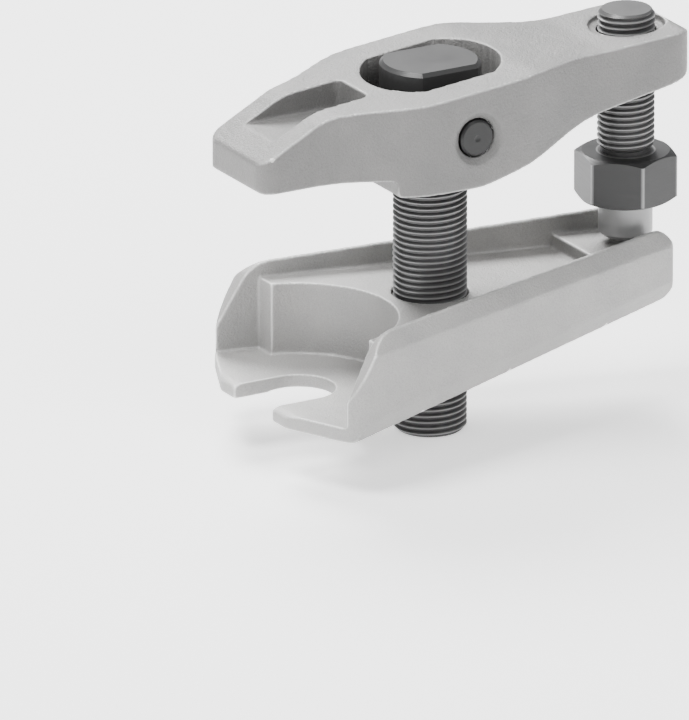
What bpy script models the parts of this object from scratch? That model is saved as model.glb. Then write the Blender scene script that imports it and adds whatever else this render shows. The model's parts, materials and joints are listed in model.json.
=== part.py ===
"""Ball joint separator: a fork and a rocking upper lever, tied by a centre spindle and spread by a jack screw.

Metres, +Z up. The origin is on the ball stud's axis, in the plane of the fork's bearing faces. +X runs to the rear,
towards the jack screw, and the tool is symmetric about Y = 0 apart from the turn of the hex.
"""

import math

import bmesh
import bpy
from mathutils import Matrix, Vector

# Clearances
GAP = 0.0003
OVERCUT = 0.004

# Fork
SPINDLE_TO_JACK = 0.0545
EYE_RADIUS = 0.024
EYE_WALL = 0.0035
NOTCH_WIDTH = 0.018
TONGUE_THICKNESS = 0.0037
TIP_THICKNESS = 0.0018
FORK_FRONT = -0.0125
TIP_HALF_WIDTH = 0.0155
TIP_ROUND = 0.005
SHOULDER_X = -0.0035
SHOULDER_HALF_WIDTH = 0.0352
SHOULDER_ROUND = 0.007
HEEL_ROUND = 0.006
RISE_START = 0.0045
RISE_ROUND = 0.008
FLANGE_START = 0.0165
FLANGE_START_ROUND = 0.009
FLANGE_WALL = 0.004
FLANGE_FRONT_HEIGHT = 0.0218
FLANGE_REAR_HEIGHT = 0.0269
FLANGE_REAR_BOTTOM = 0.0093
REAR_OVERHANG = 0.0065
REAR_PLAN_ROUND = 0.002
REAR_TOP_ROUND = 0.005
REAR_FOOT_ROUND = 0.004
TOP_CHAMFER_DEPTH = 0.0028
TOP_CHAMFER_HEIGHT = 0.004
FOOT_CHAMFER_DEPTH = 0.0022
FOOT_CHAMFER_HEIGHT = 0.0045
FLOOR_FRONT = 0.006
FLOOR_HEIGHT = 0.018
FLOOR_THICKNESS = 0.0065
PAD_STEP = 0.0035
PAD_LENGTH = 0.0195
BOSS_WALL = 0.0045
SOLE_RISE = 0.0004
SOLE_HALF_WIDTH = 0.017
SOLE_SETBACK = 0.004

# Centre spindle and its pin
SPINDLE_DIAMETER = 0.018
SPINDLE_END = -0.0166
SPINDLE_LEAD = 0.0012
HEAD_SHOULDER = 0.00325
HEAD_WIDTH = 0.0192
HEAD_BOTTOM = 0.052
HEAD_TOP = 0.0768
PIN_HEIGHT = 0.0633
PIN_DIAMETER = 0.009
PIN_LEAD = 0.0005
PIN_RECESS = 0.0006
PIN_DISH_MARGIN = 0.00215

# Jack screw and its ball
JACK_DIAMETER = 0.014
JACK_TOP = 0.0805
JACK_LEAD = 0.001
JACK_NECK_DEPTH = 0.0004
JACK_NECK_LENGTH = 0.002
HEX_FLATS = 0.022
HEX_HEIGHT = 0.012
HEX_TURN = math.radians(-11)
TIP_DIAMETER = 0.0132
TIP_LENGTH = 0.0093
TIP_ROOM = 0.0022
BALL_DIAMETER = 0.008
BALL_SHOWS = 0.0015

# Upper lever: places along X are measured from the pin, from the jack or, at the nose, from the stud
NOSE_REACH = 0.0175
NOSE_HALF_WIDTH = 0.0135
NOSE_BOTTOM = 0.055
NOSE_HEIGHT = 0.0076
NOSE_ROUND = 0.004
NECK_TO_PIN = 0.033
HIP_LENGTH = 0.029
HIP_ROUND = 0.02
WAIST_ROUND = 0.025
WAIST_BEHIND_PIN = 0.034
CHEEK = 0.0092
SLOT_PLAY_ALONG = 0.00455
SLOT_PLAY_ACROSS = 0.0044
CREST_HEIGHT = 0.0769
CREST_BEHIND_PIN = 0.0165
CREST_ROUND = 0.03
BROW_TO_PIN = 0.0365
BROW_DROP = 0.0052
BROW_ROUND = 0.014
BELLY_BOTTOM = 0.0509
BELLY_FRONT = 0.0205
BELLY_BEHIND_PIN = 0.0015
BELLY_ROUND = 0.02
EDGE_BREAK = 0.0012
REAR_PAD_MARGIN = 0.00515
REAR_PAD_OVERHANG = 0.012
REAR_PAD_TOP = 0.0776
REAR_PAD_THICKNESS = 0.0134
REAR_PAD_REACH = 0.0145
REAR_PAD_SLOPE = 0.0016
REAR_PAD_ROUND = 0.008
REAR_EDGE_ROUND = 0.004
THROAT_REACH = 0.016
THROAT_DROP = 0.0036
POCKET_LENGTH = 0.0275
POCKET_HALF_WIDTH = 0.0072
POCKET_REAR = 0.0154
POCKET_FLOOR = 0.066
POCKET_ROUND = 0.002
RIM_MARGIN = 0.00235
RIM_DEPTH = 0.0022

# Worked out from the sizes above
SPINDLE_X = EYE_RADIUS + EYE_WALL + SPINDLE_DIAMETER / 2
JACK_X = SPINDLE_X + SPINDLE_TO_JACK
FORK_REAR = JACK_X + REAR_OVERHANG
REAR_HALF_WIDTH = TIP_DIAMETER / 2 + TIP_ROOM + FLANGE_WALL
FLANGE_FRONT = FORK_FRONT + FLANGE_START
PAD_HEIGHT = FLOOR_HEIGHT + PAD_STEP
PAD_FRONT = FORK_REAR - PAD_LENGTH
BOSS_RADIUS = SPINDLE_DIAMETER / 2 + BOSS_WALL
HEAD_DIAMETER = SPINDLE_DIAMETER + 2 * HEAD_SHOULDER
BALL_Z = PAD_HEIGHT + GAP + BALL_DIAMETER / 2
TIP_BOTTOM = PAD_HEIGHT + GAP + BALL_SHOWS
HEX_BOTTOM = TIP_BOTTOM + TIP_LENGTH
HEX_TOP = HEX_BOTTOM + HEX_HEIGHT
HEX_CORNER = HEX_FLATS / 2 / math.cos(math.pi / 6)
SLOT_DIAMETER = HEAD_DIAMETER + 2 * SLOT_PLAY_ALONG
SLOT_WIDTH = HEAD_WIDTH + 2 * SLOT_PLAY_ACROSS
SLOT_HALF_BODY = SLOT_WIDTH / 2 + CHEEK
PIN_HALF_LENGTH = SLOT_HALF_BODY - PIN_RECESS
PIN_BORE = PIN_DIAMETER / 2 + GAP
RIM_RADIUS = JACK_DIAMETER / 2 + RIM_MARGIN
REAR_PAD_HALF_WIDTH = RIM_RADIUS + REAR_PAD_MARGIN
LEVER_FRONT = -NOSE_REACH
LEVER_REAR = JACK_X + REAR_PAD_OVERHANG
REAR_PAD_BOTTOM = REAR_PAD_TOP - REAR_PAD_THICKNESS
BELLY_X = SPINDLE_X - BELLY_FRONT
ROUND = 48


def start_scene():
    for obj in list(bpy.data.objects):
        bpy.data.objects.remove(obj, do_unlink=True)
    parts = bpy.data.collections.new("ball_joint_separator")
    cutters = bpy.data.collections.new("cutters")
    for collection in (parts, cutters):
        bpy.context.scene.collection.children.link(collection)
    cutters.hide_render = True
    return parts, cutters


PARTS, CUTTERS = start_scene()


def material(name, colour, roughness, metallic):
    made = bpy.data.materials.new(name)
    made.use_nodes = True
    shader = made.node_tree.nodes["Principled BSDF"]
    shader.inputs["Base Color"].default_value = (*colour, 1)
    shader.inputs["Roughness"].default_value = roughness
    shader.inputs["Metallic"].default_value = metallic
    return made


FORGED = material("forged_steel", (0.52, 0.52, 0.51), 0.45, 0.6)
DARK_STEEL = material("dark_steel", (0.13, 0.13, 0.13), 0.38, 0.85)
BRIGHT_STEEL = material("bright_steel", (0.6, 0.6, 0.6), 0.2, 1.0)


def rounded(corners, step=math.radians(12)):
    """A closed outline from (x, y, radius) corners, each radius as an arc of short chords."""
    outline = []
    for index, (x, y, radius) in enumerate(corners):
        if radius == 0:
            outline.append((x, y))
            continue
        before = corners[index - 1]
        after = corners[(index + 1) % len(corners)]
        to_before = math.atan2(before[1] - y, before[0] - x)
        to_after = math.atan2(after[1] - y, after[0] - x)
        opening = (to_after - to_before + math.pi) % (2 * math.pi) - math.pi
        half = abs(opening) / 2
        away = radius / math.sin(half)
        middle = to_before + opening / 2
        centre = (x + away * math.cos(middle), y + away * math.sin(middle))
        sweep = math.copysign(math.pi - abs(opening), -opening)
        start = middle + math.pi - sweep / 2
        count = max(2, round(abs(sweep) / step))
        for turn in range(count + 1):
            angle = start + sweep * turn / count
            outline.append((centre[0] + radius * math.cos(angle), centre[1] + radius * math.sin(angle)))
    return outline


def both_sides(half):
    """A closed outline from the corners of its +Y half, mirrored across Y = 0."""
    return half + [(x, -y, radius) for x, y, radius in reversed(half)]


def box_outline(low_x, high_x, half_width):
    return [(low_x, half_width), (high_x, half_width), (high_x, -half_width), (low_x, -half_width)]


def add(name, mesh, collection, look=None):
    obj = bpy.data.objects.new(name, mesh)
    collection.objects.link(obj)
    if look:
        mesh.materials.append(look)
    if collection is CUTTERS:
        obj.hide_render = True
        obj.display_type = "WIRE"
    return obj


def slab(name, outline, low, high, collection=CUTTERS, look=None, side_on=False):
    """A flat outline made solid between two levels of Z or, side on, an X and Z outline between two levels of Y."""
    curve = bpy.data.curves.new(name, "CURVE")
    curve.dimensions = "2D"
    curve.fill_mode = "BOTH"
    curve.extrude = (high - low) / 2
    spline = curve.splines.new("POLY")
    spline.points.add(len(outline) - 1)
    for point, (x, y) in zip(spline.points, outline):
        point.co = (x, y, 0, 1)
    spline.use_cyclic_u = True
    flat = bpy.data.objects.new(name + "_outline", curve)
    bpy.context.scene.collection.objects.link(flat)
    bpy.context.view_layer.update()
    mesh = bpy.data.meshes.new_from_object(flat.evaluated_get(bpy.context.evaluated_depsgraph_get()))
    bpy.data.objects.remove(flat)
    middle = (low + high) / 2
    place = Matrix.Translation((0, middle, 0)) @ Matrix.Rotation(math.pi / 2, 4, "X")
    if not side_on:
        place = Matrix.Translation((0, 0, middle))
    shape = bmesh.new()
    shape.from_mesh(mesh)
    bmesh.ops.remove_doubles(shape, verts=shape.verts, dist=1e-6)
    bmesh.ops.transform(shape, matrix=place, verts=shape.verts)
    bmesh.ops.recalc_face_normals(shape, faces=shape.faces)
    shape.to_mesh(mesh)
    shape.free()
    mesh.materials.clear()
    return add(name, mesh, collection, look)


def round_bar(name, base_radius, top_radius, low, high, place, collection=CUTTERS, sides=ROUND, look=None):
    """A cylinder or a cone between two heights along its own axis, put in place by a matrix."""
    mesh = bpy.data.meshes.new(name)
    shape = bmesh.new()
    bmesh.ops.create_cone(
        shape, cap_ends=True, segments=sides, radius1=base_radius, radius2=top_radius, depth=high - low
    )
    bmesh.ops.translate(shape, vec=(0, 0, (low + high) / 2), verts=shape.verts)
    bmesh.ops.transform(shape, matrix=place, verts=shape.verts)
    shape.to_mesh(mesh)
    shape.free()
    return add(name, mesh, collection, look)


def ball(name, radius, place, collection=CUTTERS, look=None):
    mesh = bpy.data.meshes.new(name)
    shape = bmesh.new()
    bmesh.ops.create_uvsphere(shape, u_segments=32, v_segments=18, radius=radius)
    bmesh.ops.transform(shape, matrix=place, verts=shape.verts)
    shape.to_mesh(mesh)
    shape.free()
    return add(name, mesh, collection, look)


def combine(obj, operation, *others):
    for other in others:
        step = obj.modifiers.new(other.name, "BOOLEAN")
        step.operation = operation
        step.object = other
        step.solver = "EXACT"


def seat(obj, origin):
    """Puts an object's origin at a point and leaves its shape where it is."""
    place = Matrix.Translation(origin)
    obj.data.transform(place.inverted() @ obj.matrix_world)
    obj.matrix_world = place


def turned(name, profile, place, collection, look=None):
    """A turned piece from (radius, z) points that run down the outer side, top to bottom."""
    mesh = bpy.data.meshes.new(name)
    points = [(radius, 0, z) for radius, z in profile]
    mesh.from_pydata(points, [(i, i + 1) for i in range(len(points) - 1)], [])
    obj = add(name, mesh, collection, look)
    obj.matrix_world = place
    screw = obj.modifiers.new("turn", "SCREW")
    screw.steps = ROUND
    screw.render_steps = ROUND
    screw.use_merge_vertices = True
    screw.merge_threshold = 0.00001
    screw.use_normal_calculate = True
    return obj


def smooth(obj):
    obj.data.shade_smooth()
    obj.data.set_sharp_from_angle(angle=math.radians(30))


def flange_half_width(x):
    """Half the fork's outer width at x, along the straight stretch behind its shoulders."""
    share = (x - SHOULDER_X) / (FORK_REAR - SHOULDER_X)
    return SHOULDER_HALF_WIDTH + share * (REAR_HALF_WIDTH - SHOULDER_HALF_WIDTH)


def between_flanges(low_x, high_x):
    near = flange_half_width(low_x) - FLANGE_WALL
    far = flange_half_width(high_x) - FLANGE_WALL
    return [(low_x, near), (high_x, far), (high_x, -far), (low_x, -near)]


def notch_outline(front):
    """The U between the tongues: straight sides from the front, and a half round about the ball stud's axis."""
    radius = NOTCH_WIDTH / 2
    turns = [math.pi / 2 - math.pi * step / 24 for step in range(25)]
    arc = [(radius * math.cos(angle), radius * math.sin(angle)) for angle in turns]
    return [(front, radius), *arc, (front, -radius)]


def sole_outline():
    """The pad below the joint's eye and the spindle's boss: straight sides from the front, and a round end."""
    turns = [math.radians(75 - 7.5 * step) for step in range(21)]
    arc = [(SPINDLE_X + BOSS_RADIUS * math.cos(angle), BOSS_RADIUS * math.sin(angle)) for angle in turns]
    side = [(SHOULDER_X, SOLE_HALF_WIDTH), (EYE_RADIUS - SOLE_SETBACK, SOLE_HALF_WIDTH)]
    return side + arc + [(x, -y) for x, y in reversed(side)]


def planed(name, front, rear, on_face):
    """A cutter whose flat face holds both ends of an edge and a third point, and which lies on their outer side."""
    length = (rear - front).normalized()
    normal = length.cross(on_face - front).normalized()
    if normal.y * front.y < 0:
        normal = -normal
    rise = normal.cross(length)
    size = FORK_REAR - FORK_FRONT
    mesh = bpy.data.meshes.new(name)
    shape = bmesh.new()
    bmesh.ops.create_cube(shape, size=1)
    turn = Matrix((length, rise, normal)).transposed().to_4x4()
    place = Matrix.Translation((front + rear) / 2 + normal * size / 2)
    place = place @ turn @ Matrix.Diagonal((2 * size, size, size, 1))
    bmesh.ops.transform(shape, matrix=place, verts=shape.verts)
    bmesh.ops.recalc_face_normals(shape, faces=shape.faces)
    shape.to_mesh(mesh)
    shape.free()
    return add(name, mesh, CUTTERS)


def flange_chamfers(way):
    """The two long chamfers on the outer face of the flange on one side, way being 1 or -1 along Y."""
    made = []
    for name, depth, height, front_level, rear_level in (
        ("top", TOP_CHAMFER_DEPTH, -TOP_CHAMFER_HEIGHT, FLANGE_FRONT_HEIGHT, FLANGE_REAR_HEIGHT),
        ("foot", FOOT_CHAMFER_DEPTH, FOOT_CHAMFER_HEIGHT, foot_height(FLANGE_FRONT), FLANGE_REAR_BOTTOM),
    ):
        front_y = flange_half_width(FLANGE_FRONT)
        front = Vector((FLANGE_FRONT, way * (front_y - depth), front_level))
        rear = Vector((FORK_REAR, way * (flange_half_width(FORK_REAR) - depth), rear_level))
        on_face = Vector((FLANGE_FRONT, way * front_y, front_level + height))
        made.append(planed(f"{name}_chamfer_{way}", front, rear, on_face))
    return made


def foot_height(x):
    """The height of the fork's underside at x."""
    share = (x - SHOULDER_X) / (FORK_REAR - SHOULDER_X)
    return -TONGUE_THICKNESS + share * (FLANGE_REAR_BOTTOM + TONGUE_THICKNESS)


def fork():
    plan = both_sides(
        [
            (FORK_FRONT, TIP_HALF_WIDTH, TIP_ROUND),
            (SHOULDER_X, SHOULDER_HALF_WIDTH, SHOULDER_ROUND),
            (FORK_REAR, REAR_HALF_WIDTH, REAR_PLAN_ROUND),
        ]
    )
    side = [
        (FORK_FRONT - OVERCUT, -TONGUE_THICKNESS, 0),
        (FORK_FRONT - OVERCUT, TIP_THICKNESS - TONGUE_THICKNESS, 0),
        (FORK_FRONT + RISE_START, TIP_THICKNESS / 2, RISE_ROUND),
        (FLANGE_FRONT, FLANGE_FRONT_HEIGHT, FLANGE_START_ROUND),
        (FORK_REAR, FLANGE_REAR_HEIGHT, REAR_TOP_ROUND),
        (FORK_REAR, FLANGE_REAR_BOTTOM, REAR_FOOT_ROUND),
        (SHOULDER_X, -TONGUE_THICKNESS, HEEL_ROUND),
    ]
    low = -TONGUE_THICKNESS - OVERCUT
    high = FLANGE_REAR_HEIGHT + OVERCUT
    made = slab("fork", rounded(plan), low, high, PARTS, FORGED)
    reach = SHOULDER_HALF_WIDTH + OVERCUT
    combine(made, "INTERSECT", slab("fork_side", rounded(side), -reach, reach, side_on=True))
    upright = Matrix.Identity(4)
    at_spindle = Matrix.Translation((SPINDLE_X, 0, 0))
    front = FORK_FRONT - OVERCUT
    behind = FORK_REAR + OVERCUT
    steps = [(front, 0), (FLOOR_FRONT, 0), (FLOOR_FRONT, FLOOR_HEIGHT), (PAD_FRONT, FLOOR_HEIGHT)]
    steps += [(PAD_FRONT, PAD_HEIGHT), (behind, PAD_HEIGHT), (behind, high), (front, high)]
    channel = slab("channel", between_flanges(front, behind), low, high + OVERCUT)
    combine(channel, "INTERSECT", slab("channel_side", steps, -reach, reach, side_on=True))
    eye_seat = round_bar("eye_seat", EYE_RADIUS, EYE_RADIUS, 0, high, upright, sides=2 * ROUND)
    under_x = SPINDLE_X + BOSS_RADIUS
    underside = slab("underside", between_flanges(under_x, behind), low, FLOOR_HEIGHT - FLOOR_THICKNESS)
    notch = slab("notch", notch_outline(front), low, -low)
    tapped = SPINDLE_DIAMETER / 2 + GAP
    spindle_hole = round_bar("spindle_hole", tapped, tapped, low, high, at_spindle)
    sole = slab("sole", sole_outline(), SOLE_RISE - TONGUE_THICKNESS, FLOOR_HEIGHT / 2)
    combine(made, "DIFFERENCE", *flange_chamfers(1), *flange_chamfers(-1))
    combine(made, "UNION", sole)
    combine(made, "DIFFERENCE", channel, eye_seat, underside, notch, spindle_hole)
    return made


def double_d(diameter, width):
    """The outline of a round bar with two flats, about the spindle's axis, with the flats facing +Y and -Y."""
    radius = diameter / 2
    half_turn = math.asin(width / diameter)
    outline = []
    for middle in (0, math.pi):
        for step in range(17):
            angle = middle - half_turn + 2 * half_turn * step / 16
            outline.append((SPINDLE_X + radius * math.cos(angle), radius * math.sin(angle)))
    return outline


def across_pin(y):
    """The place of a round bar whose axis is the pin's and whose height 0 is at y."""
    return Matrix.Translation((SPINDLE_X, y, PIN_HEIGHT)) @ Matrix.Rotation(math.pi / 2, 4, "X")


def lever_plan():
    half_hip = HIP_LENGTH / 2
    return both_sides(
        [
            (LEVER_FRONT, NOSE_HALF_WIDTH, NOSE_ROUND),
            (SPINDLE_X - NECK_TO_PIN, NOSE_HALF_WIDTH, WAIST_ROUND),
            (SPINDLE_X - half_hip, SLOT_HALF_BODY, HIP_ROUND),
            (SPINDLE_X + half_hip, SLOT_HALF_BODY, HIP_ROUND),
            (SPINDLE_X + WAIST_BEHIND_PIN, REAR_PAD_HALF_WIDTH, WAIST_ROUND),
            (LEVER_REAR, REAR_PAD_HALF_WIDTH, REAR_PAD_ROUND),
        ]
    )


def lever_profile():
    """The upper lever from the side, clockwise from the lower corner of its nose."""
    return [
        (LEVER_FRONT, NOSE_BOTTOM, EDGE_BREAK),
        (LEVER_FRONT, NOSE_BOTTOM + NOSE_HEIGHT, EDGE_BREAK),
        (SPINDLE_X - BROW_TO_PIN, CREST_HEIGHT - BROW_DROP, BROW_ROUND),
        (SPINDLE_X + CREST_BEHIND_PIN, CREST_HEIGHT, CREST_ROUND),
        (JACK_X - REAR_PAD_REACH, REAR_PAD_TOP - REAR_PAD_SLOPE, CREST_ROUND),
        (LEVER_REAR, REAR_PAD_TOP, REAR_EDGE_ROUND),
        (LEVER_REAR, REAR_PAD_BOTTOM + REAR_PAD_SLOPE, REAR_EDGE_ROUND),
        (JACK_X - THROAT_REACH, REAR_PAD_BOTTOM - THROAT_DROP, CREST_ROUND),
        (SPINDLE_X + BELLY_BEHIND_PIN, BELLY_BOTTOM, BELLY_ROUND),
        (BELLY_X, BELLY_BOTTOM, EDGE_BREAK),
        (BELLY_X, NOSE_BOTTOM, EDGE_BREAK),
    ]


def pocket_plan():
    front = POCKET_REAR - POCKET_LENGTH - OVERCUT
    return both_sides([(front, POCKET_HALF_WIDTH, 0), (POCKET_REAR, POCKET_HALF_WIDTH, POCKET_ROUND)])


def upper_lever():
    high = max(CREST_HEIGHT, REAR_PAD_TOP) + OVERCUT
    low = BELLY_BOTTOM - OVERCUT
    made = slab("upper_lever", rounded(lever_plan()), low, high, PARTS, FORGED)
    reach = SLOT_HALF_BODY + OVERCUT
    combine(made, "INTERSECT", slab("lever_side", rounded(lever_profile()), -reach, reach, side_on=True))
    slot = slab("slot", double_d(SLOT_DIAMETER, SLOT_WIDTH), low - OVERCUT, high + OVERCUT)
    nose_pocket = slab("nose_pocket", rounded(pocket_plan()), POCKET_FLOOR, high)
    pin_hole = round_bar("pin_hole", PIN_BORE, PIN_BORE, -reach, reach, across_pin(0))
    at_jack = Matrix.Translation((JACK_X, 0, 0))
    tapped = JACK_DIAMETER / 2 + GAP
    jack_hole = round_bar("jack_hole", tapped, tapped, low, high, at_jack)
    jack_rim = round_bar("jack_rim", RIM_RADIUS, RIM_RADIUS, REAR_PAD_TOP - RIM_DEPTH, high, at_jack)
    combine(made, "DIFFERENCE", slot, nose_pocket, pin_hole, jack_hole, jack_rim)
    ledge = PIN_BORE + GAP
    brim = PIN_DIAMETER / 2 + PIN_DISH_MARGIN
    for side_name, half_turn in (("near", 0), ("far", math.pi)):
        place = across_pin(0) @ Matrix.Rotation(half_turn, 4, "X")
        proud = SLOT_HALF_BODY + PIN_RECESS
        dish = round_bar(f"pin_dish_{side_name}", ledge, 2 * brim - ledge, PIN_HALF_LENGTH, proud, place)
        combine(made, "DIFFERENCE", dish)
    seat(made, (SPINDLE_X, 0, PIN_HEIGHT))
    return made


def centre_spindle():
    shank = SPINDLE_DIAMETER / 2
    head = HEAD_DIAMETER / 2
    at_spindle = Matrix.Translation((SPINDLE_X, 0, 0))
    profile = [
        (0, HEAD_TOP),
        (head - SPINDLE_LEAD, HEAD_TOP),
        (head, HEAD_TOP - SPINDLE_LEAD),
        (head, HEAD_BOTTOM + SPINDLE_LEAD),
        (shank, HEAD_BOTTOM - SPINDLE_LEAD),
        (shank, SPINDLE_END + SPINDLE_LEAD),
        (shank - SPINDLE_LEAD, SPINDLE_END),
        (0, SPINDLE_END),
    ]
    made = turned("centre_spindle", profile, at_spindle, PARTS, DARK_STEEL)
    reach = head + OVERCUT
    for side_name, way in (("far", 1), ("near", -1)):
        inner = way * HEAD_WIDTH / 2
        outer = way * reach
        ends = [(SPINDLE_X - reach, inner), (SPINDLE_X + reach, inner)]
        ends += [(SPINDLE_X + reach, outer), (SPINDLE_X - reach, outer)]
        flat = slab(f"head_flat_{side_name}", ends, HEAD_BOTTOM - SPINDLE_LEAD, HEAD_TOP + OVERCUT)
        combine(made, "DIFFERENCE", flat)
    pin_hole = round_bar("head_pin_hole", PIN_BORE, PIN_BORE, -reach, reach, across_pin(0))
    combine(made, "DIFFERENCE", pin_hole)
    return made


def cross_pin():
    radius = PIN_DIAMETER / 2
    profile = [(0, PIN_HALF_LENGTH), (radius - PIN_LEAD, PIN_HALF_LENGTH), (radius, PIN_HALF_LENGTH - PIN_LEAD)]
    profile += [(r, -z) for r, z in reversed(profile)]
    return turned("cross_pin", profile, across_pin(0), PARTS, DARK_STEEL)


def jack_screw():
    thread = JACK_DIAMETER / 2
    neck = thread - JACK_NECK_DEPTH
    tip = TIP_DIAMETER / 2
    at_jack = Matrix.Translation((JACK_X, 0, 0))
    chamfer = (HEX_CORNER - HEX_FLATS / 2) * math.tan(math.radians(30))
    profile = [
        (0, JACK_TOP),
        (thread - JACK_LEAD, JACK_TOP),
        (thread, JACK_TOP - JACK_LEAD),
        (thread, HEX_TOP + JACK_NECK_LENGTH),
        (neck, HEX_TOP + JACK_NECK_LENGTH),
        (neck, HEX_TOP),
        (HEX_FLATS / 2, HEX_TOP),
        (HEX_CORNER, HEX_TOP - chamfer),
        (HEX_CORNER, HEX_BOTTOM + chamfer),
        (HEX_FLATS / 2, HEX_BOTTOM),
        (tip, HEX_BOTTOM),
        (tip, TIP_BOTTOM + JACK_LEAD),
        (tip - JACK_LEAD, TIP_BOTTOM),
        (0, TIP_BOTTOM),
    ]
    made = turned("jack_screw", profile, at_jack, PARTS, DARK_STEEL)
    turn = at_jack @ Matrix.Rotation(HEX_TURN, 4, "Z")
    beyond = HEX_CORNER + OVERCUT
    for side in range(6):
        angle = math.radians(60 * side)
        outline = box_outline(HEX_FLATS / 2, beyond, beyond)
        flat = slab(f"hex_flat_{side}", outline, HEX_BOTTOM - OVERCUT, HEX_TOP + OVERCUT)
        flat.data.transform(turn @ Matrix.Rotation(angle, 4, "Z"))
        combine(made, "DIFFERENCE", flat)
    at_ball = Matrix.Translation((JACK_X, 0, BALL_Z))
    combine(made, "DIFFERENCE", ball("ball_socket", BALL_DIAMETER / 2 + GAP, at_ball))
    return made


def thrust_ball():
    at_ball = Matrix.Translation((JACK_X, 0, BALL_Z))
    made = ball("thrust_ball", BALL_DIAMETER / 2, at_ball, PARTS, BRIGHT_STEEL)
    seat(made, at_ball.translation)
    return made


fork()
upper_lever()
for piece in (centre_spindle(), cross_pin(), jack_screw(), thrust_ball()):
    smooth(piece)
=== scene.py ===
import json
import math

import bmesh
import bpy
from mathutils import Matrix, Vector


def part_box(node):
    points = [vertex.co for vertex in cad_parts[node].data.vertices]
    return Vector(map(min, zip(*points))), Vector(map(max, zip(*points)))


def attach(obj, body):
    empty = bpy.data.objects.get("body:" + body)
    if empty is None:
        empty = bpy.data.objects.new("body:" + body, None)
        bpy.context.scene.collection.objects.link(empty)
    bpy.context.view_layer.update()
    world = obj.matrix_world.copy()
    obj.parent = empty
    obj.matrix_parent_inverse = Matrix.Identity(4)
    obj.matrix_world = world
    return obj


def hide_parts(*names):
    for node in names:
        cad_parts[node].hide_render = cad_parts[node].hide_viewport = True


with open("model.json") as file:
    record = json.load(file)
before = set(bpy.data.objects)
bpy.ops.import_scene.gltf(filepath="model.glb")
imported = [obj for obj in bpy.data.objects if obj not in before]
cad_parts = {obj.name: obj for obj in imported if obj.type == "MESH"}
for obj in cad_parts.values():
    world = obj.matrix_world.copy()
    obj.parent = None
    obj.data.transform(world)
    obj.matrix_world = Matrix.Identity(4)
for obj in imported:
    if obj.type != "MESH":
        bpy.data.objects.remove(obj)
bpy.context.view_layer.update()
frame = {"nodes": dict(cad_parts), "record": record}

# Places, from the frame: X of both screws, heights of the pin and the ball, ends of the screws and the pin
JOINTS = {joint["name"]: joint for joint in frame["record"]["behaviour"]["joints"]}
SPINDLE_X, _, PIN_Z = JOINTS["lever_rock"]["pos_m"]
JACK_X, _, BALL_Z = JOINTS["jack_turn"]["pos_m"]
SPINDLE_BOTTOM, HEAD_TOP = (corner.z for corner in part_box("centre_spindle"))
TIP_BOTTOM, JACK_TOP = (corner.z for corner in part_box("jack_screw"))
PIN_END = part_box("cross_pin")[1].y

# Clearance round each piece that sits in a hole
GAP = 0.0003

# Centre spindle
SPINDLE_RADIUS = 0.009
SPINDLE_LEAD = 0.0012
HEAD_RADIUS = 0.01225
HEAD_HALF_WIDTH = 0.0096
HEAD_BOTTOM = 0.052
HEAD_CHAMFER = 0.0009
THREAD_TOP = HEAD_BOTTOM - SPINDLE_LEAD

# Cross pin
PIN_RADIUS = 0.0045
PIN_CHAMFER = 0.0005
DIMPLE_RADIUS = 0.0009
DISH_RADIUS = 0.00665
DISH_DEPTH = 0.0013
DISH_LEDGE = 0.0006

# Jack screw
JACK_RADIUS = 0.007
JACK_LEAD = 0.001
NECK_RADIUS = 0.00598
NECK_LENGTH = 0.002
HEX_APOTHEM = 0.01097
HEX_CORNER = HEX_APOTHEM / math.cos(math.pi / 6)
HEX_END_RADIUS = HEX_APOTHEM * 0.97
HEX_TURN = math.radians(-11)
HEX_BOTTOM = 0.0326
HEX_TOP = 0.0446
TIP_RADIUS = 0.0066
TIP_CHAMFER = 0.001
BALL_RADIUS = 0.004
BALL_STEPS = 24

# Threads. A row is (share of the pitch, share of the depth), and the cap is the height of the end fans.
PITCH = 0.0015
THREAD_DEPTH = 0.00088
THREAD_SHY = 0.00003
THREAD_ROWS = ((0.0, 0.0), (0.14, 0.0), (0.46, 1.0), (0.68, 1.0))
THREAD_CAP = 3 * PITCH

# Forgings
WELD_DISTANCE = 1e-6
VOXEL = 0.00036
SMOOTH_FACTOR = 0.5
SMOOTHING = 8
CHEEK_FACE = 0.0232
SLOT_RADIUS = 0.01686
SLOT_HALF_WIDTH = 0.01406
SLOT_ARC_STEPS = 16

# All pieces: sides of a round one, how far a cutter overruns, and the edge angles in degrees that stay sharp
SIDES = 96
OVERCUT = 0.002
FORGED_ANGLE = 50
MACHINED_ANGLE = 25


# ---------------------------------------------------------------- mesh tools
def new_object(name, shape):
    mesh = bpy.data.meshes.new(name)
    bmesh.ops.recalc_face_normals(shape, faces=shape.faces)
    shape.to_mesh(mesh)
    shape.free()
    obj = bpy.data.objects.new(name, mesh)
    bpy.context.scene.collection.objects.link(obj)
    return obj


def turned(name, profile, place):
    """A turned solid from (radius, height) points, top to bottom, put in place by a matrix."""
    shape = bmesh.new()
    rings = []
    for radius, height in profile:
        if radius == 0:
            rings.append([shape.verts.new((0, 0, height))])
            continue
        turns = [2 * math.pi * step / SIDES for step in range(SIDES)]
        points = [(radius * math.cos(turn), radius * math.sin(turn), height) for turn in turns]
        rings.append([shape.verts.new(point) for point in points])
    for upper, lower in zip(rings, rings[1:]):
        for step in range(SIDES):
            after = (step + 1) % SIDES
            corners = [upper[step % len(upper)], upper[after % len(upper)]]
            corners += [lower[after % len(lower)], lower[step % len(lower)]]
            shape.faces.new(list(dict.fromkeys(corners)))
    bmesh.ops.transform(shape, matrix=place, verts=shape.verts)
    return new_object(name, shape)


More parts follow.
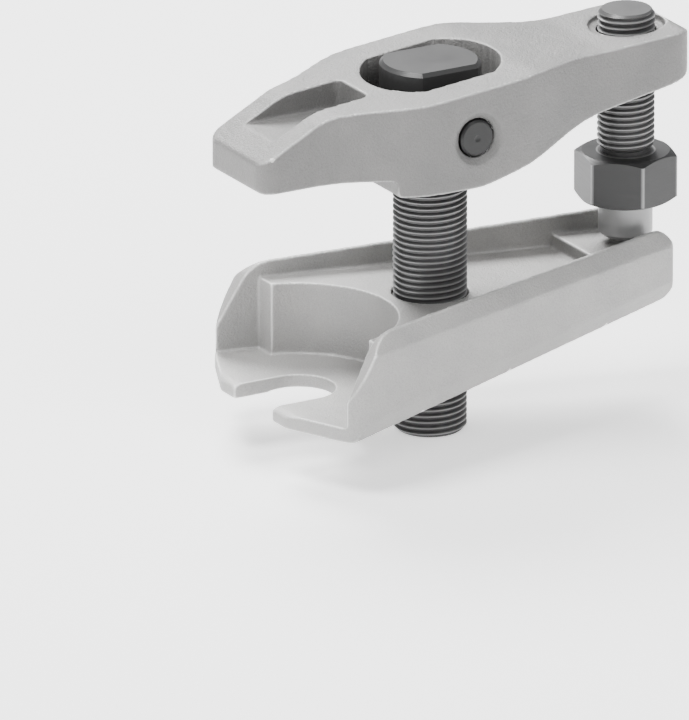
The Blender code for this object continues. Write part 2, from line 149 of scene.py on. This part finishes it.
def helix(name, radius, low, high, place):
    """A right-hand thread as a closed solid: rows that climb one pitch a turn, capped by two fans."""
    shape = bmesh.new()
    per_turn = len(THREAD_ROWS)
    turns = math.ceil((high - low) / PITCH) + 1
    rows = []
    for index in range(turns * per_turn + 1):
        share, depth = THREAD_ROWS[index % per_turn]
        base = low + PITCH * (index // per_turn + share - 1)
        row = []
        for step in range(SIDES):
            angle = 2 * math.pi * step / SIDES
            r = radius - THREAD_SHY - depth * THREAD_DEPTH
            height = base + PITCH * step / SIDES
            row.append(shape.verts.new((r * math.cos(angle), r * math.sin(angle), height)))
        rows.append(row)
    for below, above in zip(rows, rows[1:]):
        for step in range(SIDES - 1):
            shape.faces.new((below[step], below[step + 1], above[step + 1], above[step]))
    last = SIDES - 1
    for index in range(len(rows) - per_turn - 1):
        joined = (rows[index][last], rows[index + per_turn][0])
        joined += (rows[index + per_turn + 1][0], rows[index + 1][last])
        shape.faces.new(joined)
    foot = rows[0] + [rows[index][0] for index in range(per_turn, 0, -1)]
    crown = rows[-1] + [rows[-1 - index][last] for index in range(1, per_turn + 1)]
    for loop, height in ((foot, low - THREAD_CAP), (crown, high + THREAD_CAP)):
        centre = shape.verts.new((0, 0, height))
        for here, after in zip(loop, loop[1:] + loop[:1]):
            shape.faces.new((here, after, centre))
    bmesh.ops.transform(shape, matrix=place, verts=shape.verts)
    return new_object(name, shape)


def hexagon(name, low, high, place):
    shape = bmesh.new()
    bmesh.ops.create_cone(
        shape, cap_ends=True, segments=6, radius1=HEX_CORNER, radius2=HEX_CORNER, depth=high - low
    )
    turn = Matrix.Rotation(HEX_TURN, 4, "Z")
    middle = Matrix.Translation((0, 0, (low + high) / 2))
    bmesh.ops.transform(shape, matrix=place @ turn @ middle, verts=shape.verts)
    return new_object(name, shape)


def block(name, low, high):
    shape = bmesh.new()
    bmesh.ops.create_cube(shape, size=1)
    size = high - low
    place = Matrix.Translation((low + high) / 2) @ Matrix.Diagonal((*size, 1))
    bmesh.ops.transform(shape, matrix=place, verts=shape.verts)
    return new_object(name, shape)


def prism(name, outline, low, high):
    """An (x, y) outline made solid between two levels of Z."""
    shape = bmesh.new()
    base = shape.faces.new([shape.verts.new((x, y, low)) for x, y in outline])
    grown = bmesh.ops.extrude_face_region(shape, geom=[base])["geom"]
    corners = [item for item in grown if isinstance(item, bmesh.types.BMVert)]
    bmesh.ops.translate(shape, vec=(0, 0, high - low), verts=corners)
    return new_object(name, shape)


def settle(obj):
    """Applies every modifier on an object."""
    graph = bpy.context.evaluated_depsgraph_get()
    mesh = bpy.data.meshes.new_from_object(obj.evaluated_get(graph))
    obj.modifiers.clear()
    obj.data = mesh
    return obj


def combine(obj, operation, *others):
    """One Boolean after another. The other objects are used up."""
    for other in others:
        step = obj.modifiers.new(other.name, "BOOLEAN")
        step.operation = operation
        step.object = other
        step.solver = "MANIFOLD"
        settle(obj)
        bpy.data.objects.remove(other)
    return obj


def shade(obj, angle):
    obj.data.shade_smooth()
    obj.data.set_sharp_from_angle(angle=math.radians(angle))


def forging(name, node, *cutters):
    """A CAD solid, cut further, with the soft edges of a drop forging that was shot blasted."""
    source = frame["nodes"][node]
    obj = bpy.data.objects.new(name, source.data.copy())
    bpy.context.scene.collection.objects.link(obj)
    obj.matrix_world = source.matrix_world.copy()
    weld = obj.modifiers.new("weld", "WELD")
    weld.merge_threshold = WELD_DISTANCE
    combine(obj, "DIFFERENCE", *cutters)
    remesh = obj.modifiers.new("remesh", "REMESH")
    remesh.mode = "VOXEL"
    remesh.voxel_size = VOXEL
    smooth = obj.modifiers.new("smooth", "SMOOTH")
    smooth.factor = SMOOTH_FACTOR
    smooth.iterations = SMOOTHING
    settle(obj)
    obj.data.transform(obj.matrix_world)
    obj.matrix_world = Matrix.Identity(4)
    return obj


# ---------------------------------------------------------------- materials
# The distance from an axis is masked as a share of REACH, and a mask fades over MASK_FADE metres.
REACH = 0.013
MASK_FADE = 0.0003
SLOT_MARGIN = 0.00005

# Shares of REACH before and past a thread's crest, and before a hex's corner, where the lighter band, partly
# wear and partly painted highlight, changes
CREST_BEGINS = 0.03
CREST_FULL = 0.004
CREST_STAYS = 0.008
CREST_ENDS = 0.02
CORNER_BEGINS = 0.025
CORNER_FULL = 0.005

# The grey painted as light on the end below the hex, against the shadow it lies in, and how bright a machined
# face without a thread is beside the threads, darker as painted shade
PAINTED_LIGHT_GREY = 0.3
PLAIN_SHADE_SHARE = 0.4

# Socket numbers of a Mix node that mixes colours
MIX_FACTOR, MIX_FIRST, MIX_SECOND, MIX_RESULT = 0, 6, 7, 2


class Look:
    """A Principled material whose colour, roughness and bump come from nodes in the object's own space."""

    def __init__(self, name, metallic, specular=0.5):
        self.material = bpy.data.materials.new(name)
        self.material.use_nodes = True
        self.nodes = self.material.node_tree.nodes
        self.links = self.material.node_tree.links
        self.shader = self.nodes["Principled BSDF"]
        self.shader.inputs["Metallic"].default_value = metallic
        self.shader.inputs["Specular IOR Level"].default_value = specular
        self.place = self.nodes.new("ShaderNodeTexCoord").outputs["Object"]

    def noise(self, scale, detail=3.0, roughness=0.55, stretch=None):
        vector = self.place
        if stretch:
            mapping = self.nodes.new("ShaderNodeMapping")
            mapping.inputs["Scale"].default_value = stretch
            self.links.new(vector, mapping.inputs["Vector"])
            vector = mapping.outputs["Vector"]
        node = self.nodes.new("ShaderNodeTexNoise")
        node.inputs["Scale"].default_value = scale
        node.inputs["Detail"].default_value = detail
        node.inputs["Roughness"].default_value = roughness
        self.links.new(vector, node.inputs["Vector"])
        return node.outputs["Fac"]

    def from_axis(self, axis_x):
        """The distance in metres from the upright axis at X = axis_x."""
        steps = (("SUBTRACT", (axis_x, 0, 0)), ("MULTIPLY", (1, 1, 0)), ("LENGTH", None))
        value = self.place
        for operation, other in steps:
            node = self.nodes.new("ShaderNodeVectorMath")
            node.operation = operation
            self.links.new(value, node.inputs[0])
            if other:
                node.inputs[1].default_value = other
            value = node.outputs["Value" if operation == "LENGTH" else "Vector"]
        return value

    def height(self, low, high):
        """0 below one level of Z and 1 above another."""
        node = self.nodes.new("ShaderNodeSeparateXYZ")
        self.links.new(self.place, node.inputs["Vector"])
        return self.share(node.outputs["Z"], low, high)

    def share(self, value, low, high):
        """0 where the value is below low and 1 where it is above high."""
        node = self.nodes.new("ShaderNodeMapRange")
        node.inputs["From Min"].default_value = low
        node.inputs["From Max"].default_value = high
        self.links.new(value, node.inputs["Value"])
        return node.outputs["Result"]

    def ramp(self, value, *stops):
        node = self.nodes.new("ShaderNodeValToRGB")
        while len(node.color_ramp.elements) < len(stops):
            node.color_ramp.elements.new(0.5)
        for element, (position, colour) in zip(node.color_ramp.elements, stops):
            element.position = position
            element.color = (*colour, 1) if isinstance(colour, tuple) else (colour, colour, colour, 1)
        self.links.new(value, node.inputs["Fac"])
        return node.outputs["Color"]

    def edges(self, low, high):
        """0 on flat faces and 1 on outer edges, from the surface's curvature."""
        curvature = self.nodes.new("ShaderNodeNewGeometry").outputs["Pointiness"]
        return self.ramp(curvature, (low, 0.0), (high, 1.0))

    def mix(self, first, second, share, blend="MIX"):
        node = self.nodes.new("ShaderNodeMix")
        node.data_type = "RGBA"
        node.blend_type = blend
        for number, value in ((MIX_FIRST, first), (MIX_SECOND, second), (MIX_FACTOR, share)):
            socket = node.inputs[number]
            if isinstance(value, bpy.types.NodeSocket):
                self.links.new(value, socket)
            elif isinstance(value, tuple):
                socket.default_value = (*value, 1)
            else:
                socket.default_value = value
        return node.outputs[MIX_RESULT]

    def colour(self, value):
        self.links.new(value, self.shader.inputs["Base Color"])

    def roughness(self, value, low, high):
        node = self.nodes.new("ShaderNodeMapRange")
        node.inputs["To Min"].default_value = low
        node.inputs["To Max"].default_value = high
        self.links.new(value, node.inputs["Value"])
        self.links.new(node.outputs["Result"], self.shader.inputs["Roughness"])

    def bump(self, *layers):
        """Layers are (height, depth in metres) pairs."""
        normal = None
        for height, depth in layers:
            node = self.nodes.new("ShaderNodeBump")
            node.inputs["Distance"].default_value = depth
            self.links.new(height, node.inputs["Height"])
            if normal:
                self.links.new(normal, node.inputs["Normal"])
            normal = node.outputs["Normal"]
        self.links.new(normal, self.shader.inputs["Normal"])


def forged_steel(name, tone, wear_and_highlight_grey, slot_radius=None):
    """Blasted steel: a fine pitted grain, faint cloudy scale, and outer edges lighter, partly rubbed bright
    by wear and partly a painted highlight.
    """
    look = Look(name, metallic=0.35)
    clouds = look.noise(70, detail=4)
    grain = look.noise(1500, detail=2)
    pits = look.noise(3600, detail=2, roughness=0.7)
    warm = (tone * 1.02, tone, tone * 0.975)
    dull = (tone * 0.86, tone * 0.855, tone * 0.84)
    body = look.mix(dull, warm, look.ramp(clouds, (0.3, 0.0), (0.7, 1.0)))
    speckle = look.ramp(pits, (0.3, 0.76), (0.62, 1.0))
    body = look.mix(body, speckle, 0.8, "MULTIPLY")
    # Outer edges lighter from the curvature: partly real wear, partly painted highlight.
    rubbed_and_highlight_mask = look.edges(0.515, 0.56)
    if slot_radius:
        outside = look.share(look.from_axis(SPINDLE_X), slot_radius, slot_radius + MASK_FADE)
        rubbed_and_highlight_mask = look.mix((0, 0, 0), rubbed_and_highlight_mask, outside)
    look.colour(look.mix(body, (wear_and_highlight_grey, wear_and_highlight_grey, wear_and_highlight_grey * 0.985), rubbed_and_highlight_mask))
    look.roughness(grain, 0.42, 0.6)
    look.bump((clouds, 0.0006), (grain, 0.00016), (pits, 0.0001))
    return look.material


def machined_steel(name, tone, wear_and_highlight_grey, axis_x, crest, thread_top, corner=None, painted_light_below=None):
    """Oiled dark steel with turning marks: crests and corners lighter, partly rubbed by wear and partly
    painted highlight; faces off the thread darker as painted shade; the end below a given level lighter as
    painted light.
    """
    look = Look(name, metallic=0.3, specular=0.35)
    clouds = look.noise(110, detail=4)
    marks = look.noise(900, detail=2, stretch=(0.15, 0.15, 6.0))
    dull = (tone * 0.8, tone * 0.8, tone * 0.8)
    body = look.mix(dull, (tone, tone, tone * 0.99), look.ramp(clouds, (0.3, 0.0), (0.7, 1.0)))
    top = crest / REACH
    past_crest = ((top + CREST_STAYS, 1.0), (top + CREST_ENDS, 0.0))
    stops = [(top - CREST_BEGINS, 0.0), (top - CREST_FULL, 1.0), *past_crest]
    if corner:
        stops += [(corner / REACH - CORNER_BEGINS, 0.0), (corner / REACH - CORNER_FULL, 1.0)]
    distance = look.share(look.from_axis(axis_x), 0, REACH)
    above = look.height(thread_top, thread_top + MASK_FADE)
    # Painted shade: faces off the thread get a darker grey that offsets the light they reflect.
    plain = tone * PLAIN_SHADE_SHARE
    on_thread = look.mix(look.ramp(distance, *past_crest), (0, 0, 0), above)
    body = look.mix((plain, plain, plain), body, on_thread)
    # Crests and hex corners lighter: partly real wear, partly painted highlight.
    rubbed_and_highlight_mask = look.mix(look.ramp(distance, *stops), (0, 0, 0), above)
    body = look.mix(body, (wear_and_highlight_grey, wear_and_highlight_grey, wear_and_highlight_grey), rubbed_and_highlight_mask)
    # Painted light: below the given level the end gets a lighter grey, against the shadow of the hex.
    if painted_light_below:
        above_painted_light = look.height(painted_light_below - MASK_FADE, painted_light_below)
        body = look.mix((PAINTED_LIGHT_GREY, PAINTED_LIGHT_GREY, PAINTED_LIGHT_GREY), body, above_painted_light)
    look.colour(body)
    look.roughness(marks, 0.3, 0.46)
    look.bump((marks, 0.00002),)
    return look.material


def polished_steel():
    look = Look("polished_steel", metallic=1.0)
    film = look.noise(400, detail=3)
    look.colour(look.mix((0.5, 0.5, 0.5), (0.66, 0.66, 0.67), film))
    look.roughness(film, 0.08, 0.2)
    look.bump((film, 0.000004),)
    return look.material


FORK_STEEL = forged_steel("fork_steel", tone=0.38, wear_and_highlight_grey=0.8)
LEVER_STEEL = forged_steel("lever_steel", tone=0.185, wear_and_highlight_grey=0.6, slot_radius=SLOT_RADIUS + SLOT_MARGIN)
SPINDLE_STEEL = machined_steel("spindle_steel", 0.08, 0.22, SPINDLE_X, SPINDLE_RADIUS, THREAD_TOP)
SCREW_STEEL = machined_steel("screw_steel", 0.08, 0.22, JACK_X, JACK_RADIUS, JACK_TOP, HEX_CORNER, HEX_BOTTOM)
# The pin has no thread: all of it lies above this thread_top, so it is plain and its crest mask is off.
PIN_STEEL = machined_steel("pin_steel", 0.055, 0.12, SPINDLE_X, SPINDLE_RADIUS, SPINDLE_BOTTOM)
BALL_STEEL = polished_steel()


# ---------------------------------------------------------------- pieces
AT_SPINDLE = Matrix.Translation((SPINDLE_X, 0, 0))
AT_JACK = Matrix.Translation((JACK_X, 0, 0))
ALONG_PIN = Matrix.Translation((SPINDLE_X, 0, PIN_Z)) @ Matrix.Rotation(math.pi / 2, 4, "X")


def plain_bar(name, radius, low, high, place):
    return turned(name, [(0, high), (radius, high), (radius, low), (0, low)], place)


def dress(obj, material, body, node, smooth_angle):
    shade(obj, smooth_angle)
    obj.data.materials.clear()
    obj.data.materials.append(material)
    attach(obj, body)
    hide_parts(node)


def fork():
    obj = forging("fork_forging", "fork")
    low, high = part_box("fork")
    bore = SPINDLE_RADIUS + GAP
    combine(obj, "DIFFERENCE", plain_bar("bore", bore, low.z - OVERCUT, high.z, AT_SPINDLE))
    dress(obj, FORK_STEEL, "fork_body", "fork", FORGED_ANGLE)


def dish(turn):
    """A cutter for the countersink round one end of the pin."""
    ledge = PIN_RADIUS + DISH_LEDGE
    brim = 2 * DISH_RADIUS - ledge
    outside = CHEEK_FACE + DISH_DEPTH
    inside = CHEEK_FACE - DISH_DEPTH
    profile = [(0, outside), (brim, outside), (ledge, inside), (0, inside)]
    return turned("dish", profile, ALONG_PIN @ Matrix.Rotation(turn, 4, "X"))


def slot_outline():
    """Two arcs about the spindle's axis, joined by two flats that face +Y and -Y."""
    half_turn = math.asin(SLOT_HALF_WIDTH / SLOT_RADIUS)
    shares = [step / SLOT_ARC_STEPS - 1 for step in range(2 * SLOT_ARC_STEPS + 1)]
    turns = [middle + half_turn * share for middle in (0, math.pi) for share in shares]
    return [(SPINDLE_X + SLOT_RADIUS * math.cos(turn), SLOT_RADIUS * math.sin(turn)) for turn in turns]


def lever():
    obj = forging("lever_forging", "upper_lever", dish(0), dish(math.pi))
    low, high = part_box("upper_lever")
    combine(obj, "DIFFERENCE", prism("slot", slot_outline(), low.z - OVERCUT, high.z + OVERCUT))
    jack_bore = plain_bar("jack_bore", JACK_RADIUS + GAP, low.z, high.z + OVERCUT, AT_JACK)
    combine(obj, "DIFFERENCE", jack_bore)
    bore = PIN_RADIUS + GAP
    reach = high.y + OVERCUT
    combine(obj, "DIFFERENCE", plain_bar("pin_bore", bore, -reach, reach, ALONG_PIN))
    dress(obj, LEVER_STEEL, "lever_body", "upper_lever", FORGED_ANGLE)


def spindle():
    envelope = [
        (0, HEAD_TOP),
        (HEAD_RADIUS - HEAD_CHAMFER, HEAD_TOP),
        (HEAD_RADIUS, HEAD_TOP - HEAD_CHAMFER),
        (HEAD_RADIUS, HEAD_BOTTOM + SPINDLE_LEAD),
        (SPINDLE_RADIUS, THREAD_TOP),
        (SPINDLE_RADIUS, SPINDLE_BOTTOM + SPINDLE_LEAD),
        (SPINDLE_RADIUS - SPINDLE_LEAD, SPINDLE_BOTTOM),
        (0, SPINDLE_BOTTOM),
    ]
    obj = turned("threaded_spindle", envelope, AT_SPINDLE)
    thread = helix("spindle_thread", SPINDLE_RADIUS, SPINDLE_BOTTOM, THREAD_TOP, AT_SPINDLE)
    above = plain_bar("above_thread", 2 * HEAD_RADIUS, THREAD_TOP, HEAD_TOP + OVERCUT, AT_SPINDLE)
    combine(thread, "UNION", above)
    combine(obj, "INTERSECT", thread)
    reach = 2 * HEAD_RADIUS
    for way in (1, -1):
        edges = sorted((way * HEAD_HALF_WIDTH, way * reach))
        low = Vector((SPINDLE_X - reach, edges[0], THREAD_TOP))
        high = Vector((SPINDLE_X + reach, edges[1], HEAD_TOP + OVERCUT))
        combine(obj, "DIFFERENCE", block("flat", low, high))
        slope = block("flat_chamfer", Vector((-reach, 0, -reach)), Vector((reach, reach, reach)))
        corner = Vector((SPINDLE_X, way * (HEAD_HALF_WIDTH - HEAD_CHAMFER / 2), HEAD_TOP - HEAD_CHAMFER / 2))
        tilt = Matrix.Rotation(way * math.radians(45), 4, "X")
        flip = Matrix.Diagonal((1, way, 1, 1))
        slope.data.transform(Matrix.Translation(corner) @ tilt @ flip)
        if way < 0:
            slope.data.flip_normals()
        combine(obj, "DIFFERENCE", slope)
    bore = PIN_RADIUS + GAP
    combine(obj, "DIFFERENCE", plain_bar("head_bore", bore, -reach, reach, ALONG_PIN))
    dress(obj, SPINDLE_STEEL, "spindle_body", "centre_spindle", MACHINED_ANGLE)


def pin():
    radius = PIN_RADIUS - PIN_CHAMFER
    half = [
        (0, PIN_END - DIMPLE_RADIUS / 2),
        (DIMPLE_RADIUS, PIN_END),
        (radius, PIN_END),
        (PIN_RADIUS, PIN_END - PIN_CHAMFER),
    ]
    profile = half + [(r, -z) for r, z in reversed(half)]
    obj = turned("rocking_pin", profile, ALONG_PIN)
    dress(obj, PIN_STEEL, "spindle_body", "cross_pin", MACHINED_ANGLE)


def jack():
    chamfer = (HEX_CORNER - HEX_APOTHEM) * math.tan(math.radians(30))
    shoulder = HEX_TOP + NECK_LENGTH
    envelope = [
        (0, JACK_TOP),
        (JACK_RADIUS - JACK_LEAD, JACK_TOP),
        (JACK_RADIUS, JACK_TOP - JACK_LEAD),
        (JACK_RADIUS, shoulder),
        (NECK_RADIUS, shoulder - (JACK_RADIUS - NECK_RADIUS)),
        (NECK_RADIUS, HEX_TOP),
        (HEX_END_RADIUS, HEX_TOP),
        (HEX_CORNER, HEX_TOP - chamfer),
        (HEX_CORNER, HEX_BOTTOM + chamfer),
        (HEX_END_RADIUS, HEX_BOTTOM),
        (TIP_RADIUS, HEX_BOTTOM),
        (TIP_RADIUS, TIP_BOTTOM + TIP_CHAMFER),
        (TIP_RADIUS - TIP_CHAMFER, TIP_BOTTOM),
        (0, TIP_BOTTOM),
    ]
    obj = turned("threaded_jack", envelope, AT_JACK)
    thread = helix("jack_thread", JACK_RADIUS, HEX_TOP + PITCH, JACK_TOP, AT_JACK)
    collar = hexagon("hex_collar", TIP_BOTTOM - OVERCUT, HEX_TOP + PITCH / 2, AT_JACK)
    combine(thread, "UNION", collar)
    combine(obj, "INTERSECT", thread)
    at_ball = Matrix.Translation((JACK_X, 0, BALL_Z))
    arc = [math.pi / BALL_STEPS * step for step in range(BALL_STEPS + 1)]
    socket_radius = BALL_RADIUS + GAP
    sphere = [(socket_radius * math.sin(turn), socket_radius * math.cos(turn)) for turn in arc]
    sphere = [(0, sphere[0][1]), *sphere[1:-1], (0, sphere[-1][1])]
    combine(obj, "DIFFERENCE", turned("ball_socket", sphere, at_ball))
    dress(obj, SCREW_STEEL, "screw_body", "jack_screw", MACHINED_ANGLE)


def thrust_ball():
    node = frame["nodes"]["thrust_ball"]
    node.data.materials.clear()
    node.data.materials.append(BALL_STEEL)


# ---------------------------------------------------------------- studio
CAMERA_TURN = math.radians(30)
CAMERA_TILT = math.radians(19.5)
CAMERA_DISTANCE = 5.0
FRAME_HEIGHT = 0.1728
AIM_LEFT = 0.0205
AIM_DOWN = 0.0166
FLOOR_OF_FORK = 0.018
SENSOR = 36.0
FLOOR_HALF_SIZE = 6
FLOOR_GLOW = 0.8
SKY_STRENGTH = 0.5


def camera_axes():
    right = Vector((math.cos(CAMERA_TURN), -math.sin(CAMERA_TURN), 0))
    level = Vector((math.sin(CAMERA_TURN), math.cos(CAMERA_TURN), 0))
    ahead = level * math.cos(CAMERA_TILT) - Vector((0, 0, math.sin(CAMERA_TILT)))
    return right, right.cross(ahead), ahead


def camera():
    right, up, ahead = camera_axes()
    aim = Vector((SPINDLE_X, 0, FLOOR_OF_FORK)) - AIM_LEFT * right - AIM_DOWN * up
    data = bpy.data.cameras.new("camera")
    data.sensor_width = SENSOR
    data.lens = SENSOR * CAMERA_DISTANCE / FRAME_HEIGHT
    data.clip_end = 4 * CAMERA_DISTANCE
    obj = bpy.data.objects.new("camera", data)
    bpy.context.scene.collection.objects.link(obj)
    turn = Matrix((right, up, -ahead)).transposed().to_4x4()
    obj.matrix_world = Matrix.Translation(aim - CAMERA_DISTANCE * ahead) @ turn
    bpy.context.scene.camera = obj


def soft_light(name, place, size, power):
    data = bpy.data.lights.new(name, "AREA")
    data.shape = "DISK"
    data.size = size
    data.energy = power
    obj = bpy.data.objects.new(name, data)
    bpy.context.scene.collection.objects.link(obj)
    target = Vector((SPINDLE_X, 0, FLOOR_OF_FORK))
    obj.location = target + Vector(place)
    obj.rotation_mode = "QUATERNION"
    obj.rotation_quaternion = (-Vector(place)).to_track_quat("-Z", "Y")


def studio():
    shape = bmesh.new()
    bmesh.ops.create_grid(shape, x_segments=1, y_segments=1, size=FLOOR_HALF_SIZE)
    bmesh.ops.translate(shape, vec=(0, 0, SPINDLE_BOTTOM), verts=shape.verts)
    floor = new_object("floor", shape)
    if floor.data.polygons[0].normal.z < 0:
        floor.data.flip_normals()
    pale = Look("pale_floor", metallic=0.0, specular=0.2)
    pale.colour(pale.ramp(pale.noise(3), (0.3, 0.86), (0.7, 0.88)))
    pale.shader.inputs["Roughness"].default_value = 0.8
    pale.shader.inputs["Emission Color"].default_value = (1, 1, 1, 1)
    pale.shader.inputs["Emission Strength"].default_value = FLOOR_GLOW
    floor.data.materials.append(pale.material)
    world = bpy.data.worlds.new("studio")
    bpy.context.scene.world = world
    world.use_nodes = True
    backdrop = world.node_tree.nodes["Background"]
    backdrop.inputs["Color"].default_value = (0.97, 0.98, 1.0, 1)
    backdrop.inputs["Strength"].default_value = SKY_STRENGTH
    soft_light("key", (-0.5, 0.1, 1.2), 0.6, 26)
    soft_light("back", (0.2, 1.0, 1.05), 0.8, 44)
    soft_light("low_left", (-1.3, -0.35, 0.5), 0.9, 5)
    soft_light("front", (0.2, -1.0, 0.95), 0.8, 10)


fork()
lever()
spindle()
pin()
jack()
thrust_ball()
studio()
camera()
